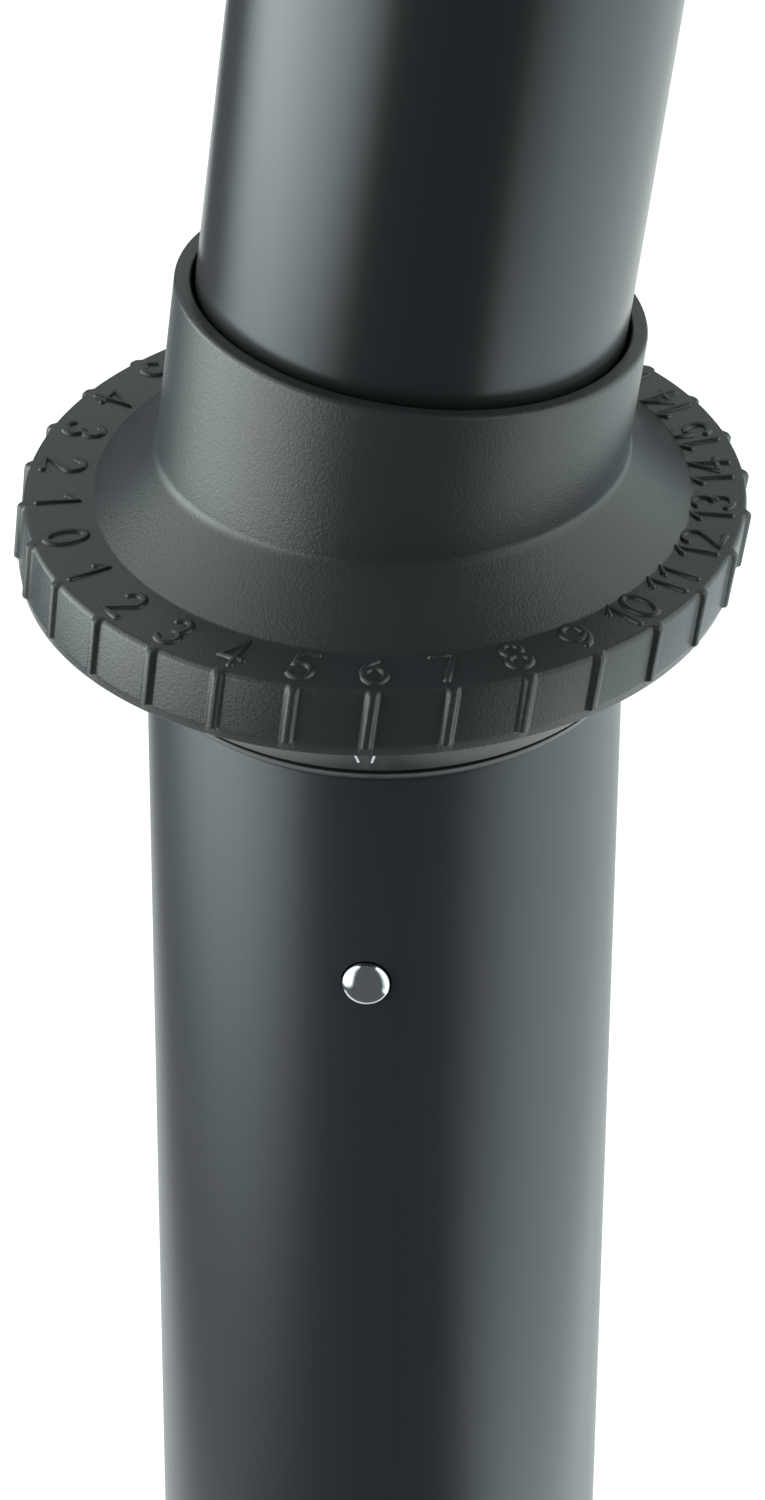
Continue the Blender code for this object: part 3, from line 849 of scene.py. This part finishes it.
dial_mesh = turned("dial", dial_corners, bay_angles(SCALE_STEPS, half_rib, 14, 7))
print("dial skin", len(dial_mesh.vertices), "points")

# %% [markdown]
# ## Ribs by geometry nodes
#
# The ribs repeat, so a node tree makes them. It moves points outwards, square to the upper tube, by
# a bump that depends only on how far a point is from the nearest rib's middle, measured along the
# rim. The bump fades in over the rounded upper edge of the rim and stops short where the rim starts
# to draw in, so a rib ends the way a moulded one does.

# %% Rib tree


def math_node(tree, operation, *values):
    """The result of one calculation."""
    made = add(tree, "ShaderNodeMath", dict(enumerate(values)), operation=operation)
    return made.outputs[0]


def new_tree(name, inputs):
    """A node tree with a geometry input, named number inputs and a geometry output."""
    tree = bpy.data.node_groups.new(name, "GeometryNodeTree")
    tree.interface.new_socket("Geometry", in_out="INPUT", socket_type="NodeSocketGeometry")
    for label, value in inputs.items():
        if isinstance(value, bpy.types.Material):
            made = tree.interface.new_socket(label, in_out="INPUT", socket_type="NodeSocketMaterial")
        else:
            made = tree.interface.new_socket(label, in_out="INPUT", socket_type="NodeSocketFloat")
        made.default_value = value
    tree.interface.new_socket("Geometry", in_out="OUTPUT", socket_type="NodeSocketGeometry")
    return tree, tree.nodes.new("NodeGroupInput").outputs


def end_tree(tree, geometry, material):
    """Close a tree: make instances real and give everything its material."""
    real = add(tree, "GeometryNodeRealizeInstances", {"Geometry": geometry})
    painted = add(
        tree,
        "GeometryNodeSetMaterial",
        {"Geometry": real.outputs["Geometry"], "Material": material},
    )
    output = tree.nodes.new("NodeGroupOutput")
    tree.links.new(painted.outputs["Geometry"], output.inputs["Geometry"])


def rib_tree():
    """Press ribs out of a rim that turns about Z."""
    tree, given = new_tree(
        "moulded_ribs",
        {
            "Count": float(SCALE_STEPS),
            "Rim Radius": RIM_RADIUS * MM,
            "Edge": 0.5 * MM,
            "Foot": (SKIRT_LEVEL + 0.07) * MM,
            "Run Out": 0.14 * MM,
            "Width": RIB_WIDTH * MM,
            "Flank": RIB_FLANK * MM,
            "Proud": RIB_PROUD * MM,
            "Material": grained_nylon,
        },
    )
    position = add(tree, "GeometryNodeInputPosition")
    place = add(tree, "ShaderNodeSeparateXYZ", {"Vector": position.outputs[0]})
    x, y = place.outputs["X"], place.outputs["Y"]
    angle = math_node(tree, "ARCTAN2", x, math_node(tree, "MULTIPLY", y, -1.0))
    bay = math_node(tree, "DIVIDE", math.tau, given["Count"])
    nearest = math_node(tree, "ROUND", math_node(tree, "DIVIDE", angle, bay))
    off = math_node(tree, "SUBTRACT", angle, math_node(tree, "MULTIPLY", nearest, bay))
    arc = math_node(tree, "MULTIPLY", math_node(tree, "ABSOLUTE", off), given["Rim Radius"])
    half = math_node(tree, "MULTIPLY", given["Width"], 0.5)
    half_flank = math_node(tree, "MULTIPLY", given["Flank"], 0.5)
    bump = add(
        tree,
        "ShaderNodeMapRange",
        {
            "Value": arc,
            "From Min": math_node(tree, "SUBTRACT", half, half_flank),
            "From Max": math_node(tree, "ADD", half, half_flank),
            "To Min": 1.0,
            "To Max": 0.0,
        },
        interpolation_type="SMOOTHSTEP",
    )
    flat = add(tree, "ShaderNodeCombineXYZ", {"X": x, "Y": y})
    reach = add(tree, "ShaderNodeVectorMath", {0: flat.outputs[0]}, operation="LENGTH")
    radius = reach.outputs["Value"]
    edge_start = math_node(tree, "SUBTRACT", given["Rim Radius"], given["Edge"])
    fade = add(
        tree,
        "ShaderNodeMapRange",
        {"Value": radius, "From Min": edge_start, "From Max": given["Rim Radius"]},
    )
    level = math_node(
        tree,
        "SUBTRACT",
        math_node(tree, "MULTIPLY", place.outputs["Z"], math.cos(WEDGE)),
        math_node(tree, "MULTIPLY", y, math.sin(WEDGE)),
    )
    end = add(
        tree,
        "ShaderNodeMapRange",
        {
            "Value": level,
            "From Min": math_node(tree, "SUBTRACT", given["Foot"], given["Run Out"]),
            "From Max": given["Foot"],
        },
    )
    lift = math_node(tree, "MULTIPLY", bump.outputs["Result"], fade.outputs["Result"])
    lift = math_node(tree, "MULTIPLY", lift, end.outputs["Result"])
    lift = math_node(tree, "MULTIPLY", lift, given["Proud"])
    out = add(tree, "ShaderNodeVectorMath", {0: flat.outputs[0]}, operation="NORMALIZE")
    offset = add(tree, "ShaderNodeVectorMath", {0: out.outputs[0], "Scale": lift}, operation="SCALE")
    moved = add(
        tree,
        "GeometryNodeSetPosition",
        {"Geometry": given["Geometry"], "Offset": offset.outputs[0]},
    )
    end_tree(tree, moved.outputs["Geometry"], given["Material"])
    return tree


def run_tree(mesh, tree, **sizes):
    """The mesh that a tree makes of a mesh. An input is set by its socket's identifier."""
    carrier = bpy.data.objects.new("carrier", mesh)
    bpy.context.scene.collection.objects.link(carrier)
    nodes = carrier.modifiers.new("nodes", "NODES")
    nodes.node_group = tree
    inputs = [item for item in tree.interface.items_tree if item.in_out == "INPUT"]
    sockets = {item.name: item.identifier for item in inputs}
    for label, value in sizes.items():
        nodes[sockets[label.replace("_", " ")]] = value
    result = plain_mesh(carrier)
    bpy.data.objects.remove(carrier, do_unlink=True)
    return result


ribbed = run_tree(dial_mesh, rib_tree())
ribbed.shade_smooth()
ribbed.set_sharp_from_angle(angle=math.radians(40))
piece("dial_moulding", ribbed, HEAD, grained_nylon, "head", ["dial_collar"])

# %% [markdown]
# ## Raised numerals
#
# The numerals were cut into the mould with a small round-nosed cutter, so on the part they stand up
# as rounded beads with round ends. Each digit is drawn as the path of that cutter, from straight
# runs and arcs in a cell one unit high. The scale counts from 0 both ways round to 15, and the tops
# of the numerals point to the middle.

# %% Digits as cutter paths


def arc(x, y, across, along, start, end, steps=10):
    """Points on an ellipse's arc, from one angle to another in degrees."""
    angles = [math.radians(start + (end - start) * i / steps) for i in range(steps + 1)]
    return [(x + across * math.cos(a), y + along * math.sin(a)) for a in angles]


six = [arc(0.02, 0.31, 0.26, 0.31, 150, -210, 16)[:-1] + arc(0.3, 0.42, 0.56, 0.56, 178, 118, 5)]
DIGITS = {
    "0": [arc(0, 0.5, 0.27, 0.5, 90, 430, 20) + [(0, 1)]],
    "1": [[(-0.2, 0.76), (0.04, 1), (0.04, 0)]],
    "2": [arc(0, 0.73, 0.26, 0.27, 165, -30) + [(-0.27, 0), (0.28, 0)]],
    "3": [arc(-0.02, 0.75, 0.23, 0.25, 150, -80) + arc(-0.02, 0.26, 0.27, 0.26, 80, -150)],
    "4": [[(0.12, 0), (0.12, 1), (-0.28, 0.28), (0.3, 0.28)]],
    "5": [[(0.24, 1), (-0.18, 1), (-0.22, 0.55)] + arc(-0.01, 0.31, 0.27, 0.31, 125, -150)],
    "6": six,
    "7": [[(-0.27, 1), (0.27, 1), (-0.08, 0)]],
    "8": [arc(0, 0.76, 0.21, 0.24, -90, 270, 14), arc(0, 0.26, 0.27, 0.26, 90, 450, 16)],
    "9": [[(-x, 1 - y) for x, y in path] for path in six],
}
DIGIT_HEIGHT, DIGIT_STEP = 3.3, 2.0
NUMERAL_RADIUS = 26.75  # middle of the numerals
NUMERAL_LEVEL = RIM_TOP - 0.2  # the beads' centres, a little under the face


def numeral_paths(text):
    """Cutter paths of a number, in millimetres, centred on the origin."""
    paths = []
    for i, digit in enumerate(text):
        left = (i - (len(text) - 1) / 2) * DIGIT_STEP
        for path in DIGITS[digit]:
            paths.append([(left + x * DIGIT_HEIGHT, (y - 0.5) * DIGIT_HEIGHT) for x, y in path])
    return paths


def path_mesh(name, paths):
    """Edges along paths of points in metres."""
    points, edges = [], []
    for path in paths:
        start = len(points)
        points += path
        edges += [(start + i, start + i + 1) for i in range(len(path) - 1)]
    mesh = bpy.data.meshes.new(name)
    mesh.from_pydata(points, edges, [])
    return mesh


def scale_paths():
    """Every numeral's paths, laid on the scale band in the head's frame."""
    laid = []
    for step in range(SCALE_STEPS):
        angle = math.tau * step / SCALE_STEPS
        for path in numeral_paths(str(min(step, SCALE_STEPS - step))):
            placed = []
            for x, y in path:
                radius = NUMERAL_RADIUS - y
                flat_x = math.cos(angle) * x + math.sin(angle) * radius
                flat_y = math.sin(angle) * x - math.cos(angle) * radius
                placed.append((flat_x * MM, flat_y * MM, slanted(NUMERAL_LEVEL, flat_y) * MM))
            laid.append(placed)
    return path_mesh("scale_paths", laid)


numeral_lines = scale_paths()
print("numerals have", len(numeral_lines.vertices), "path points")

# %% [markdown]
# ## Beads along the paths
#
# A second tree turns paths into beads: each run of edges becomes a curve, a small circle is swept
# along it, and a ball closes every end. The beads are sunk to their middle, or a little more, in the
# face that they stand on.

# %% Bead tree


def bead_tree(material):
    """Round beads with round ends along a mesh's edges."""
    tree, given = new_tree("moulded_beads", {"Bead Radius": 0.3 * MM, "Material": material})
    curve = add(tree, "GeometryNodeMeshToCurve", {"Mesh": given["Geometry"]})
    section = add(
        tree,
        "GeometryNodeCurvePrimitiveCircle",
        {"Resolution": 10, "Radius": given["Bead Radius"]},
    )
    swept = add(
        tree,
        "GeometryNodeCurveToMesh",
        {"Curve": curve.outputs["Curve"], "Profile Curve": section.outputs["Curve"], "Fill Caps": True},
    )
    ball = add(
        tree,
        "GeometryNodeMeshUVSphere",
        {"Segments": 10, "Rings": 6, "Radius": given["Bead Radius"]},
    )
    ends = add(
        tree,
        "GeometryNodeInstanceOnPoints",
        {
            "Points": curve.outputs["Curve"],
            "Selection": add(tree, "GeometryNodeCurveEndpointSelection").outputs["Selection"],
            "Instance": ball.outputs["Mesh"],
        },
    )
    joined = add(tree, "GeometryNodeJoinGeometry")
    tree.links.new(swept.outputs["Mesh"], joined.inputs["Geometry"])
    tree.links.new(ends.outputs["Instances"], joined.inputs["Geometry"])
    smooth = add(tree, "GeometryNodeSetShadeSmooth", {"Geometry": joined.outputs["Geometry"]})
    end_tree(tree, smooth.outputs["Geometry"], given["Material"])
    return tree


NUMERAL_BEAD = 0.42
numerals = run_tree(numeral_lines, bead_tree(grained_nylon), Bead_Radius=NUMERAL_BEAD * MM)
piece("scale_numerals", numerals, HEAD, grained_nylon, "head")

# %% [markdown]
# ## The index mark
#
# The scale is read against a mark on the bush, just under the rim. Here it is two short strokes of
# white marking paint, which draw together towards the tube without meeting.

# %% Index mark


def on_bush(x, level):
    """A point on the bush's collar, in metres. x runs round the collar from the index direction."""
    radius = flared(level)
    y = -radius * math.cos(x / radius)
    return (radius * math.sin(x / radius) * MM, y * MM, slanted(level, y) * MM)


MARK_TOP, MARK_FOOT = (0.9, -9.7), (0.54, -11.15)  # half its width, and its level
MARK_BEAD = 0.1


def mark_stroke(side):
    """One stroke of the mark, from its top to its foot."""
    points = []
    for i in range(5):
        half, level = (a + (b - a) * i / 4 for a, b in zip(MARK_TOP, MARK_FOOT))
        points.append(on_bush(side * half, level))
    return points


mark_lines = path_mesh("mark_lines", [mark_stroke(-1), mark_stroke(1)])
mark = run_tree(mark_lines, bead_tree(marking_paint), Bead_Radius=MARK_BEAD * MM)
piece("index_mark", mark, BASE, marking_paint, "base")

# %% [markdown]
# ## The upper tube and its cap
#
# The upper tube is a plain turned skin with a slanted foot, which is hidden in the collar. The cap
# has a generous edge radius, because it guides the socket that is lowered over the tube.

# %% Upper tube and cap
UPPER_FOOT_LEVEL = -2.6
tube_top = cap_top - CAP_THICKNESS - 0.3
upper_corners = [
    Corner(UPPER_RADIUS, tube_top, 0.3),
    Corner(UPPER_RADIUS, UPPER_FOOT_LEVEL, 0.3, 1),
    Corner(UPPER_BORE, UPPER_FOOT_LEVEL, 0.3, 1),
    Corner(UPPER_BORE, tube_top, 0.3),
]
upper_mesh = turned("upper", upper_corners, even_angles(360))
piece("coated_upper_tube", upper_mesh, HEAD, satin_coat, "head", ["upper_tube"])

cap_foot = tube_top + 0.15
CAP_SKIRT_RADIUS, CAP_SKIRT_BORE, CAP_SKIRT_DEPTH = 15.2, 13.2, 12
cap_corners = [
    Corner(0, cap_top),
    Corner(UPPER_RADIUS - 4.2, cap_top, 0.3),
    Corner(UPPER_RADIUS - 3.8, cap_top - 0.3, 0.2),
    Corner(UPPER_RADIUS - 3.4, cap_top, 0.3),
    Corner(UPPER_RADIUS, cap_top, 1.0),
    Corner(UPPER_RADIUS, cap_foot, 0.2),
    Corner(CAP_SKIRT_RADIUS, cap_foot, 0.1),
    Corner(CAP_SKIRT_RADIUS, cap_foot - CAP_SKIRT_DEPTH, 0.6),
    Corner(CAP_SKIRT_BORE, cap_foot - CAP_SKIRT_DEPTH, 0.3),
    Corner(CAP_SKIRT_BORE, cap_foot, 0.5),
    Corner(0, cap_foot),
]
cap_mesh = turned("cap", cap_corners, even_angles(240), closed=False)
piece("top_cap", cap_mesh, HEAD, smooth_nylon, "head", ["end_cap"])

# %% [markdown]
# ## What is inside
#
# The bolt, washers, springs, screws and plug keep the model's own shapes. Only the bolt's head can be
# seen, from below. Each gets the material that the real one has.

# %% Inner pieces
INNER = {
    zinc_plate: ["pivot_bolt", "lock_nut", "nut_washer", "spring_seat_washer"],
    spring_steel: [f"disc_spring_{i}" for i in range(1, 5)],
    acetal: ["thrust_washer"],
    smooth_nylon: ["upper_plug"],
}
INNER[zinc_plate] += [f"dial_screw_{i}" for i in range(1, 4)]
INNER[zinc_plate] += [f"plug_pin_{i}" for i in range(1, 4)]
for material, names in INNER.items():
    for name in names:
        frame["nodes"][name].data.materials.clear()
        frame["nodes"][name].data.materials.append(material)
print("inner pieces finished:", sum(len(names) for names in INNER.values()))
